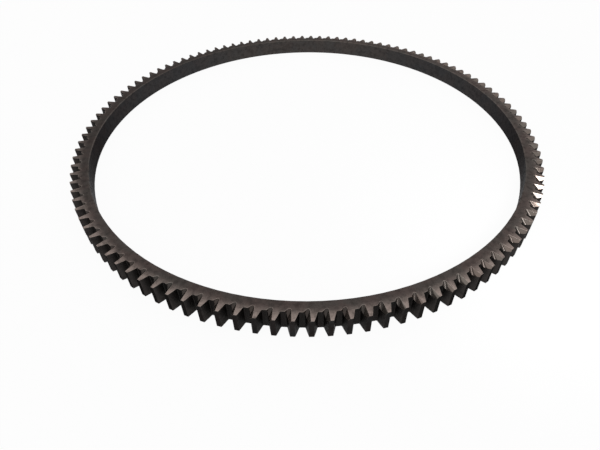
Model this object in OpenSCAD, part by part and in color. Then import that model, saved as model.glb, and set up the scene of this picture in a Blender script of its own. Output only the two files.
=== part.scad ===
// Flywheel ring gear: a turned steel ring with stub spur teeth round its outside.
// At the upper face each tooth has a lead-in cut on its clockwise flank, seen from above,
// where the starter pinion slides into mesh.
// The axis is Z, the underside lies on z = 0 and one tooth is centred on +X.

/* [Teeth] */
// Number of teeth
tooth_count = 113; // [90:1:150]
// Module, the pitch diameter over the number of teeth
tooth_module = 3; // [2.5:0.05:3.5]
// Pressure angle of the flanks, in degrees
pressure_angle = 20; // [17.5:0.5:22.5]
// Height of a tooth outside the pitch circle
addendum = 2.4; // [2:0.05:3]
// Depth of a gap inside the pitch circle
dedendum = 2.7; // [2.2:0.05:3.3]
// Amount by which each tooth is thinner than half the pitch
tooth_thinning = 0.3; // [0:0.01:0.6]
// Radius of the fillet at the foot of each flank
root_fillet = 0.6; // [0.3:0.05:0.9]

/* [Ring] */
// Width of the ring along its axis
face_width = 14; // [10:0.1:18]
// Metal between the bore and the tooth roots
rim_wall = 6.6; // [5:0.1:10]
// Chamfer on the upper edge of the bore
bore_chamfer = 0.6; // [0.4:0.1:1.5]

/* [Lead-in cuts] */
// Radius of the hollow along the bottom of the cut
lead_in_radius = 1.4; // [1:0.05:1.8]
// Angle between the bottom of the cut and the tooth's centre line, seen from above, in degrees
lead_in_turn = 25; // [20:0.5:28]
// Fall of the bottom of the cut below the upper face, in degrees
lead_in_fall = 34; // [25:0.5:36]
// Lean of the cut's wall on the tooth, away from square to the bottom, in degrees
lead_in_tooth_lean = 44; // [40:0.5:50]
// Lean of the cut's wall on the rim, away from square to the bottom, in degrees
lead_in_rim_lean = 36; // [30:0.5:40]
// Start of the bottom of the cut, inside the root circle
lead_in_start = 1.85; // [1:0.05:2.4]
// Start of the bottom of the cut, to the side of the tooth's centre line
lead_in_side = 1.2; // [1:0.05:1.6]

/* [Hidden] */

// Flat pieces along each flank and each fillet
flank_steps = 3;
fillet_steps = 3;
// Pieces round a full turn of the ring, and of the hollow of a lead-in cut
turn_steps = 226;
hollow_steps = 18;
// Distance by which cuts run past the faces they cut
overrun = 1;
steel_colour = [0.27, 0.25, 0.24];

pitch_deg = 360 / tooth_count;
pitch_r = tooth_module * tooth_count / 2;
base_r = pitch_r * cos(pressure_angle);
tip_r = pitch_r + addendum;
root_r = pitch_r - dedendum;
bore_r = root_r - rim_wall;
tooth_thickness = PI * tooth_module / 2 - tooth_thinning;
half_tooth_deg = tooth_thickness / 2 / pitch_r * 180 / PI;

// Involute of an angle, in degrees
function involute(angle) = tan(angle) * 180 / PI - angle;

// Half of the angle that a tooth takes up at radius r
function tooth_half_deg(r) =
    half_tooth_deg + involute(pressure_angle) - involute(acos(base_r / r));

// Half of the angle that a gap takes up at radius r
function gap_half_deg(r) = pitch_deg / 2 - tooth_half_deg(r);

function polar(r, angle) = r * [cos(angle), sin(angle)];

// Point at radius r on the flank beside a gap that is centred on +X
function flank_point(r) = polar(r, gap_half_deg(r));

function unit(v) = v / norm(v);

function mirrored(points) =
    [for (i = [len(points) - 1:-1:0]) [points[i].x, -points[i].y]];

// Fillet between a flank and the root, at the foot of the flank
foot = flank_point(root_r);
foot_deg = gap_half_deg(root_r);
flank_way = unit(flank_point(root_r + root_fillet) - foot);
root_way = [sin(foot_deg), -cos(foot_deg)];
foot_corner = acos(flank_way * root_way);
fillet_centre = foot + (flank_way + root_way) * root_fillet / sin(foot_corner);
fillet_top_r = norm(foot + flank_way * root_fillet / tan(foot_corner / 2));
fillet_turn = 180 - foot_corner;
fillet = [for (i = [0:fillet_steps])
    fillet_centre + polar(root_fillet, foot_deg + foot_corner + fillet_turn * i / fillet_steps)];

// One side of a gap, from outside the tip down the involute flank to the root
flank_top_r = tip_r + overrun;
flank = [for (i = [0:flank_steps - 1])
    flank_point(flank_top_r + (fillet_top_r - flank_top_r) * i / flank_steps)];
gap_side = concat(flank, fillet);

// Extent of the lead-in cut, to past the tip and past the upper face
lead_in_start_r = root_r - lead_in_start;
lead_in_length = (tip_r - lead_in_start_r) / cos(lead_in_turn) / cos(lead_in_fall) + overrun;
lead_in_height = lead_in_length * tan(lead_in_fall) + overrun;

// Feet of the cut's walls, just inside the hollow, so that each wall crosses it instead of touching it
hollow_flat = 180 / hollow_steps;
wall_offset = lead_in_radius * cos(hollow_flat);
tooth_side_foot =
    wall_offset * [sin(lead_in_tooth_lean), cos(lead_in_tooth_lean)] - [lead_in_radius, 0];
rim_side_foot =
    wall_offset * [sin(lead_in_rim_lean), -cos(lead_in_rim_lean)] - [lead_in_radius, 0];

// Width of the cut's wall on the rim, which meets the upper face as far as the middle of the gap
rim_edge_turn = atan(sin(lead_in_fall) * tan(lead_in_rim_lean));
rim_edge_reach = root_r * sin(pitch_deg / 2) - lead_in_side;
lead_in_rim_width = rim_edge_reach * sin(rim_edge_turn) / sin(lead_in_turn + rim_edge_turn);

// Ring as turned, with a chamfer at the upper edge of its bore
module turned_ring() {
    rotate_extrude($fn = turn_steps)
        polygon([
            [bore_r, 0],
            [tip_r, 0],
            [tip_r, face_width],
            [bore_r + bore_chamfer, face_width],
            [bore_r, face_width - bore_chamfer]
        ]);
}

// Space between two teeth, centred on +X
module tooth_gap() {
    translate([0, 0, -overrun])
        linear_extrude(face_width + 2 * overrun)
            polygon(concat(gap_side, mirrored(gap_side)));
}

// Section of a lead-in cut: a hollow that touches the origin, and two walls that run out of it.
// X points down into the metal and Y towards the tooth.
module lead_in_section() {
    tooth_side_rise = lead_in_height + tooth_side_foot.x;
    rim_side_rise = lead_in_rim_width / tan(lead_in_rim_lean);
    rim_side_y = rim_side_foot.y - lead_in_rim_width;
    translate([-lead_in_radius, 0])
        rotate(90 - lead_in_tooth_lean + hollow_flat)
            circle(lead_in_radius, $fn = hollow_steps);
    polygon([
        rim_side_foot,
        [rim_side_foot.x - rim_side_rise, rim_side_y],
        [-lead_in_height, rim_side_y],
        [-lead_in_height, tooth_side_foot.y + tooth_side_rise * tan(lead_in_tooth_lean)],
        tooth_side_foot
    ]);
}

// Cut on the clockwise flank of the tooth on +X, falling from the rim to the tip
module lead_in_cut() {
    translate([lead_in_start_r, -lead_in_side, face_width])
        rotate([0, 90 + lead_in_fall, -lead_in_turn])
            translate([0, 0, -overrun])
                linear_extrude(lead_in_length + overrun)
                    lead_in_section();
}

module ring_gear() {
    color(steel_colour)
        difference() {
            turned_ring();
            for (i = [0:tooth_count - 1]) {
                rotate((i + 0.5) * pitch_deg)
                    tooth_gap();
                rotate(i * pitch_deg)
                    lead_in_cut();
            }
        }
}

ring_gear();
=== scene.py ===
import math
from collections import namedtuple

import bmesh
import bpy
from mathutils import Euler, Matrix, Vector


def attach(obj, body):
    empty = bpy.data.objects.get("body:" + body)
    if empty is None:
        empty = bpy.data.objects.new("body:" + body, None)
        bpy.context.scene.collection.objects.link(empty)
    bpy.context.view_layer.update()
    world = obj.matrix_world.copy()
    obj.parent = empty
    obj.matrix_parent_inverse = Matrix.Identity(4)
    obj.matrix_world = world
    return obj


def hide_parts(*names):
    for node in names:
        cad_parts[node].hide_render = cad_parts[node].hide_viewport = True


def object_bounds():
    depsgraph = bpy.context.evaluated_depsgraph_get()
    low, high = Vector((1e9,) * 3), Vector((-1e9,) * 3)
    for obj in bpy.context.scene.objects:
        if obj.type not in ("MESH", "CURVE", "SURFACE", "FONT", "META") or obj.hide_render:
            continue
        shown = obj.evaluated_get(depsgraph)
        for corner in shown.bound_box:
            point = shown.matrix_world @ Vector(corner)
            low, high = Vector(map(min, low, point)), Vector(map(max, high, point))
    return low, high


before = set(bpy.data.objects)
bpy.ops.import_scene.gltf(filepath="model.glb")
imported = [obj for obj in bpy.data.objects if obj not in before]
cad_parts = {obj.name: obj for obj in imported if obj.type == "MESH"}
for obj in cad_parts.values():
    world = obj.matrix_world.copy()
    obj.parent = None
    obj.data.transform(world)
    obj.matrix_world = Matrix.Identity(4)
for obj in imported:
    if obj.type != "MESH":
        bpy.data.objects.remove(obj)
cad_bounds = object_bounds()

MM = 0.001
TOOTH_COUNT = 113

# Height and radii of the ring, in metres. One tooth is centred on +X, so the frame's box reaches its tip.
# The lead-in cuts start outside RIM_R.
HEIGHT = cad_bounds[1][2]
TIP_R = cad_bounds[1][0]
ROOT_R = TIP_R - 5.1 * MM
RIM_R = TIP_R - 9.9 * MM

# Points closer than this are one point, and faces that differ by less than this angle are one face
WELD = 0.001 * MM
LEVEL_ANGLE = math.radians(0.4)

# Edges that are broken by hand after machining
EDGE_BREAK = 0.16 * MM
EDGE_STEPS = 2
SHARP_ANGLE = math.radians(28)

# Slots of the ring's own materials
FACE, BORE, CHAMFER, SIDE, LAND, CUT, WALL, EDGE = range(8)

# What tells the faces apart: shares of a face's normal along the axis, outwards and sideways, and the
# depth below the tip circle within which a tooth's land lies
LEVEL = 0.99
UPRIGHT = 0.01
INWARD = -0.5
CHAMFER_RISE = 0.5
WALL_SIDEWAYS = -0.79
LAND_OUTWARD = 0.9
LAND_DEPTH = 0.2 * MM

# Patches, stains, specks and machining marks, by how many of them there are in a metre
PATCH_SCALE = 70
STAIN_SCALE = 300
SPECK_SCALE = 1500
TURNING_SCALE = 5200
BORING_SCALE = 4200
HOBBING_SCALE = 900
GRAIN_SCALE = 2600

# How far stains and specks darken the steel, how far stains and marks roughen it, and how deep the
# marks and specks are
STAIN_SHADE = 0.5
SPECK_SHADE = 0.3
STAIN_ROUGHNESS = 0.12
MARK_ROUGHNESS = 0.10
MEAN_ROUGHNESS = 0.11
SPECK_RELIEF = 0.6
RELIEF_DEPTH = 0.05 * MM

# Teeth whose ends take a lighter tone: the direction from the axis to the stretch where it is strongest,
# the cosines of the turns from there at which it is weakest and strongest, and the least share. On the
# upper face it starts a little outside the rim. On the flanks the darker tone nearer the roots is painted
# shade in the gaps.
TIP_TONE_TURN = math.radians(-105)
TIP_TONE_WEAKEST_AT = 0.1
TIP_TONE_STRONGEST_AT = 0.9
TIP_TONE_LEAST = 0.4
TIP_TONE_R = RIM_R + 1.2 * MM

# Studio: half of the floor's width, the floor's tone, the share of plain white in what the camera sees of
# it, and the level of the light from all round
FLOOR_HALF = 6.0
FLOOR_TONE = 0.9
FLOOR_WHITE = 0.95
SKY_LEVEL = 0.7

# Camera at the photo's angle: place in metres, turns in degrees, lens and sensor in millimetres, and the
# shifts of the picture as shares of its width
CAMERA_PLACE = (0.00244, -0.28976, 0.20600)
CAMERA_TURNS = (51.1617, -0.2225, -0.3751)
CAMERA_LENS = 26.4566
CAMERA_SENSOR = 36
CAMERA_SHIFT_X = -0.02493
CAMERA_SHIFT_Y = -0.10107
CAMERA_CLIP = 0.01


def colour(red, green, blue):
    return (red, green, blue, 1.0)


WHITE = colour(1, 1, 1)
DARK = colour(0.020, 0.017, 0.016)
BLUISH_SHADE = colour(0.014, 0.018, 0.024)

# A stretch of the ring that is painted darker, as painted shade: the direction from the axis to its
# middle, the cosines of the turns from there at which the painted shade starts and is full, its strength
# and its tone
PaintedShade = namedtuple("PaintedShade", "turn start full strength tone")
# On the upper faces and the chamfer: painted shade on the left and the left-back
FACE_PAINTED_SHADE = PaintedShade(turn=math.radians(156), start=0.45, full=0.95, strength=0.35, tone=DARK)
# In the bore: painted shade all round but for the back, in a bluish tone
BORE_PAINTED_SHADE = PaintedShade(turn=math.radians(-88), start=-0.97, full=-0.72, strength=0.36, tone=BLUISH_SHADE)


class Nodes:
    """Short calls for building the node tree of a material or of the world."""

    def __init__(self, tree):
        self.tree = tree
        self.tree.nodes.clear()

    def add(self, kind, inputs=None, **settings):
        node = self.tree.nodes.new(kind)
        for key, value in settings.items():
            setattr(node, key, value)
        for key, value in (inputs or {}).items():
            self.feed(node, key, value)
        return node

    def feed(self, node, key, value):
        if isinstance(value, bpy.types.NodeSocket):
            self.tree.links.new(value, node.inputs[key])
        else:
            node.inputs[key].default_value = value

    def math(self, operation, a, b=0.0, c=0.0):
        node = self.add("ShaderNodeMath", {0: a, 1: b, 2: c}, operation=operation)
        return node.outputs[0]

    def noise(self, vector, scale, detail, roughness):
        node = self.add(
            "ShaderNodeTexNoise",
            {"Vector": vector, "Scale": scale, "Detail": detail, "Roughness": roughness},
        )
        return node.outputs["Fac"]

    def lines(self, position, scale):
        node = self.add(
            "ShaderNodeTexNoise",
            {"W": position, "Scale": scale, "Detail": 2.0},
            noise_dimensions="1D",
        )
        return node.outputs["Fac"]

    def spread(self, value, low, high, to_low=0.0, to_high=1.0):
        node = self.add(
            "ShaderNodeMapRange",
            {"Value": value, "From Min": low, "From Max": high, "To Min": to_low, "To Max": to_high},
            interpolation_type="SMOOTHSTEP",
        )
        return node.outputs["Result"]

    def mix(self, factor, a, b):
        node = self.add("ShaderNodeMix", data_type="RGBA")
        self.feed(node, 0, factor)
        self.feed(node, 6, a)
        self.feed(node, 7, b)
        return node.outputs[2]

    def shade(self, share, strength, tone, darker):
        """Mix a darker tone into a tone, where share is high."""
        return self.mix(self.math("MULTIPLY", share, strength), tone, darker)

    def seen(self):
        """1 for what is seen, straight or in a reflection, and 0 for the light that falls on things."""
        path = self.add("ShaderNodeLightPath")
        seen = self.math("MAXIMUM", path.outputs["Is Camera Ray"], path.outputs["Is Glossy Ray"])
        return self.math("MAXIMUM", seen, path.outputs["Is Transmission Ray"])


def new_material(name):
    material = bpy.data.materials.new(name)
    material.use_nodes = True
    return material


def machining_marks(n, marks, place, radius, height):
    """Grooves that turning, boring or hobbing left, or a plain grain."""
    if marks == "turned":
        return n.lines(radius, TURNING_SCALE)
    if marks == "bored":
        return n.lines(height, BORING_SCALE)
    if marks == "hobbed":
        return n.lines(height, HOBBING_SCALE)
    return n.noise(place, GRAIN_SCALE, detail=2.0, roughness=0.6)


def steel(
    name, brown, grey, roughness, rim, marks, bump,
    metal=1.0, grime=1.0, tip=None, tip_from=ROOT_R, vary=0.0, painted_shade=None,
):
    """Dark oiled steel: brown and grey patches, stains, and the marks that the machining left.

    rim is how much of a mirror's glare the surface keeps at a shallow angle, metal is the share that
    is free of oxide, and grime is how dirty it is. tip is a lighter tone towards the ends of the teeth,
    from the radius tip_from on, strongest at the front; on the flanks the darker tone nearer the roots is
    painted shade in the gaps. vary is how far the teeth differ from each other.
    The last argument is a stretch of the ring that is painted darker, as painted shade."""
    material = new_material(name)
    n = Nodes(material.node_tree)
    place = n.add("ShaderNodeTexCoord").outputs["Object"]
    x, y, z = n.add("ShaderNodeSeparateXYZ", {0: place}).outputs
    radius = n.math("SQRT", n.math("ADD", n.math("MULTIPLY", x, x), n.math("MULTIPLY", y, y)))

    def nearness(turn):
        """Cosine of the turn about the axis between a point and a direction."""
        along = n.math("MULTIPLY_ADD", x, math.cos(turn), n.math("MULTIPLY", y, math.sin(turn)))
        return n.math("DIVIDE", along, radius)

    patches = n.spread(n.noise(place, PATCH_SCALE, detail=4.0, roughness=0.6), 0.38, 0.62)
    stains = n.spread(n.noise(place, STAIN_SCALE, detail=4.0, roughness=0.65), 0.42, 0.72)
    specks = n.spread(n.noise(place, SPECK_SCALE, detail=2.0, roughness=0.5), 0.3, 0.75)
    tone = n.mix(patches, brown, grey)
    # Lighter towards the teeth's ends, strongest at the front; on the flanks the darker tone nearer the
    # roots is painted shade in the gaps
    if tip:
        tip_share = n.spread(
            nearness(TIP_TONE_TURN), TIP_TONE_WEAKEST_AT, TIP_TONE_STRONGEST_AT, to_low=TIP_TONE_LEAST
        )
        tip_share = n.math("MULTIPLY", tip_share, n.spread(radius, tip_from, TIP_R))
        tone = n.mix(tip_share, tone, tip)
    tone = n.shade(stains, STAIN_SHADE * grime, tone, DARK)
    tone = n.shade(specks, SPECK_SHADE * grime, tone, DARK)
    if vary:
        pitches = n.math("MULTIPLY", n.math("ARCTAN2", y, x), TOOTH_COUNT / math.tau)
        tooth = n.add(
            "ShaderNodeTexWhiteNoise", {"W": n.math("ROUND", pitches)}, noise_dimensions="1D"
        )
        tone = n.shade(tooth.outputs["Value"], vary, tone, DARK)
    # Painted shade: darker over one stretch of the ring
    if painted_shade:
        shade_share = n.spread(nearness(painted_shade.turn), painted_shade.start, painted_shade.full)
        tone = n.shade(shade_share, painted_shade.strength, tone, painted_shade.tone)
    grooves = machining_marks(n, marks, place, radius, z)
    rough = n.math(
        "ADD",
        n.math("MULTIPLY", stains, STAIN_ROUGHNESS),
        n.math("MULTIPLY", grooves, MARK_ROUGHNESS),
    )
    rough = n.math("ADD", n.math("MULTIPLY", rough, grime), roughness - MEAN_ROUGHNESS * grime)
    relief = n.math("ADD", grooves, n.math("MULTIPLY", specks, SPECK_RELIEF))
    bumped = n.add(
        "ShaderNodeBump", {"Strength": bump, "Distance": RELIEF_DEPTH, "Height": relief}
    )
    shader = n.add(
        "ShaderNodeBsdfPrincipled",
        {
            "Base Color": tone,
            "Metallic": metal,
            "Roughness": rough,
            "Specular Tint": colour(rim, rim, rim),
            "Normal": bumped.outputs[0],
        },
    )
    n.add("ShaderNodeOutputMaterial", {"Surface": shader.outputs[0]})
    return material


def oiled_faces():
    return steel(
        "oiled_faces",
        brown=colour(0.076, 0.058, 0.053),
        grey=colour(0.066, 0.057, 0.052),
        roughness=0.44,
        rim=0.55,
        marks="turned",
        bump=0.35,
        tip=colour(0.320, 0.258, 0.230),
        tip_from=TIP_TONE_R,
        painted_shade=FACE_PAINTED_SHADE,
    )


def oiled_bore():
    return steel(
        "oiled_bore",
        brown=colour(0.065, 0.056, 0.052),
        grey=colour(0.059, 0.055, 0.053),
        roughness=0.46,
        rim=0.36,
        marks="bored",
        bump=0.35,
        painted_shade=BORE_PAINTED_SHADE,
    )


def turned_chamfer():
    return steel(
        "turned_chamfer",
        brown=colour(0.115, 0.095, 0.086),
        grey=colour(0.104, 0.094, 0.087),
        roughness=0.42,
        rim=0.45,
        marks="turned",
        bump=0.3,
        painted_shade=FACE_PAINTED_SHADE,
    )


def oiled_sides():
    return steel(
        "oiled_sides",
        brown=colour(0.018, 0.015, 0.014),
        grey=colour(0.016, 0.016, 0.015),
        roughness=0.48,
        rim=0.30,
        marks="hobbed",
        bump=0.3,
        metal=0.8,
        # Painted shade in the gaps: the flanks are darker nearer the roots than at the tips
        tip=colour(0.046, 0.041, 0.039),
        vary=0.3,
    )


def oiled_lands():
    return steel(
        "oiled_lands",
        brown=colour(0.048, 0.044, 0.043),
        grey=colour(0.043, 0.044, 0.044),
        roughness=0.46,
        rim=0.25,
        marks="hobbed",
        bump=0.3,
        vary=0.3,
    )


def milled_hollows():
    return steel(
        "milled_hollows",
        brown=colour(0.063, 0.051, 0.045),
        grey=colour(0.057, 0.051, 0.046),
        roughness=0.22,
        rim=0.20,
        marks="plain",
        bump=0.06,
        metal=0.8,
        grime=0.4,
        vary=0.15,
    )


def milled_walls():
    return steel(
        "milled_walls",
        brown=colour(0.190, 0.150, 0.130),
        grey=colour(0.171, 0.150, 0.132),
        roughness=0.10,
        rim=0.20,
        marks="plain",
        bump=0.02,
        metal=0.78,
        grime=0.2,
        vary=0.15,
    )


# Lighter tone on the teeth's broken upper edges: wear, and a painted highlight along the edges
def worn_edges_and_highlight():
    return steel(
        "worn_edges_and_highlight",
        brown=colour(0.35, 0.285, 0.255),
        grey=colour(0.32, 0.285, 0.257),
        roughness=0.50,
        rim=0.50,
        marks="plain",
        bump=0.2,
    )


# Materials in the order of their slots
MATERIALS = (
    oiled_faces,
    oiled_bore,
    turned_chamfer,
    oiled_sides,
    oiled_lands,
    milled_hollows,
    milled_walls,
    worn_edges_and_highlight,
)


def face_slot(face):
    """The material that a face of the ring takes, by where it is and which way it points."""
    centre = face.calc_center_median()
    radius = math.hypot(centre.x, centre.y)
    outward = (face.normal.x * centre.x + face.normal.y * centre.y) / radius
    sideways = (face.normal.y * centre.x - face.normal.x * centre.y) / radius
    if abs(face.normal.z) > LEVEL:
        return FACE
    if outward < INWARD:
        return CHAMFER if face.normal.z > CHAMFER_RISE else BORE
    if abs(face.normal.z) > UPRIGHT:
        return WALL if sideways < WALL_SIDEWAYS else CUT
    return LAND if radius > TIP_R - LAND_DEPTH and outward > LAND_OUTWARD else SIDE


def join_faces(body):
    """Join the triangles of the frame's mesh into the faces that were machined."""
    bmesh.ops.remove_doubles(body, verts=body.verts, dist=WELD)
    bmesh.ops.dissolve_limit(
        body,
        angle_limit=LEVEL_ANGLE,
        use_dissolve_boundaries=False,
        verts=body.verts,
        edges=body.edges,
    )
    body.normal_update()
    for face in body.faces:
        face.material_index = face_slot(face)
        face.smooth = True


def break_edges(body):
    """Round the sharp outer edges. Round the teeth's upper ends they take a lighter tone: wear, and a
    painted highlight along the edges.
    """
    sharp = [
        edge
        for edge in body.edges
        if len(edge.link_faces) == 2 and edge.is_convex and edge.calc_face_angle() > SHARP_ANGLE
    ]
    broken = bmesh.ops.bevel(
        body,
        geom=sharp,
        offset=EDGE_BREAK,
        offset_type="OFFSET",
        segments=EDGE_STEPS,
        profile=0.5,
        affect="EDGES",
        clamp_overlap=True,
        material=-1,
        harden_normals=False,
    )
    for face in broken["faces"]:
        centre = face.calc_center_median()
        face.smooth = True
        # A lighter tone on the teeth's upper edges: wear, and a painted highlight
        if centre.z > HEIGHT - EDGE_BREAK and math.hypot(centre.x, centre.y) > RIM_R:
            face.material_index = EDGE


def make_ring():
    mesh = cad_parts["ring_gear"].data.copy()
    mesh.name = "ring_gear_body"
    mesh.materials.clear()
    body = bmesh.new()
    body.from_mesh(mesh)
    join_faces(body)
    break_edges(body)
    body.to_mesh(mesh)
    body.free()
    ring = bpy.data.objects.new("ring_gear_body", mesh)
    bpy.context.scene.collection.objects.link(ring)
    for material in MATERIALS:
        mesh.materials.append(material())
    weighted = ring.modifiers.new("flat_faces", "WEIGHTED_NORMAL")
    weighted.weight = 100
    return ring


def pale_floor():
    """White where it is seen, with a share of plain paper that keeps the ring's shadow."""
    material = new_material("pale_floor")
    n = Nodes(material.node_tree)
    paper = n.add("ShaderNodeBsdfDiffuse", {"Color": colour(FLOOR_TONE, FLOOR_TONE, FLOOR_TONE)})
    white = n.add("ShaderNodeEmission", {"Color": WHITE, "Strength": 1.0})
    blend = n.add("ShaderNodeMixShader")
    n.feed(blend, 0, n.math("MULTIPLY", n.seen(), FLOOR_WHITE))
    n.feed(blend, 1, paper.outputs[0])
    n.feed(blend, 2, white.outputs[0])
    n.add("ShaderNodeOutputMaterial", {"Surface": blend.outputs[0]})
    return material


def make_stage():
    mesh = bpy.data.meshes.new("floor")
    corners = [
        (-FLOOR_HALF, -FLOOR_HALF, 0),
        (FLOOR_HALF, -FLOOR_HALF, 0),
        (FLOOR_HALF, FLOOR_HALF, 0),
        (-FLOOR_HALF, FLOOR_HALF, 0),
    ]
    mesh.from_pydata(corners, [], [(0, 1, 2, 3)])
    mesh.materials.append(pale_floor())
    floor = bpy.data.objects.new("floor", mesh)
    bpy.context.scene.collection.objects.link(floor)


def make_world():
    """Even light from all round, white where it is seen."""
    world = bpy.data.worlds.new("studio")
    world.use_nodes = True
    n = Nodes(world.node_tree)
    level = n.spread(n.seen(), 0.0, 1.0, to_low=SKY_LEVEL)
    sky = n.add("ShaderNodeBackground", {"Color": WHITE, "Strength": level})
    n.add("ShaderNodeOutputWorld", {"Surface": sky.outputs[0]})
    bpy.context.scene.world = world


def make_lamp(name, place, target, size, power, spread):
    """A round lamp at a place, turned to a target, whose light spreads over an angle in degrees."""
    lamp = bpy.data.lights.new(name, "AREA")
    lamp.shape = "DISK"
    lamp.size = size
    lamp.energy = power
    lamp.spread = math.radians(spread)
    holder = bpy.data.objects.new(name, lamp)
    holder.location = place
    aim = Vector(target) - Vector(place)
    holder.rotation_euler = aim.to_track_quat("-Z", "Y").to_euler()
    bpy.context.scene.collection.objects.link(holder)


def make_lamps():
    """A small flash on the right, in which four of the cuts glint, and a soft lamp behind the ring."""
    make_lamp(
        "flash",
        place=(0.117, -0.240, 0.132),
        target=(0.128, -0.108, 0.012),
        size=0.08,
        power=0.045,
        spread=66,
    )
    make_lamp(
        "soft",
        place=(0.7, 1.3, 1.0),
        target=(0, 0, 0),
        size=1.0,
        power=1.2,
        spread=180,
    )


def make_camera():
    camera = bpy.data.cameras.new("camera")
    camera.sensor_fit = "HORIZONTAL"
    camera.sensor_width = CAMERA_SENSOR
    camera.lens = CAMERA_LENS
    camera.shift_x = CAMERA_SHIFT_X
    camera.shift_y = CAMERA_SHIFT_Y
    camera.clip_start = CAMERA_CLIP
    holder = bpy.data.objects.new("camera", camera)
    holder.location = CAMERA_PLACE
    holder.rotation_euler = Euler([math.radians(turn) for turn in CAMERA_TURNS], "XYZ")
    bpy.context.scene.collection.objects.link(holder)
    bpy.context.scene.camera = holder


ring = make_ring()
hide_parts("ring_gear")
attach(ring, "root")

make_stage()
make_world()
make_lamps()
make_camera()
bpy.context.scene.view_settings.view_transform = "Standard"
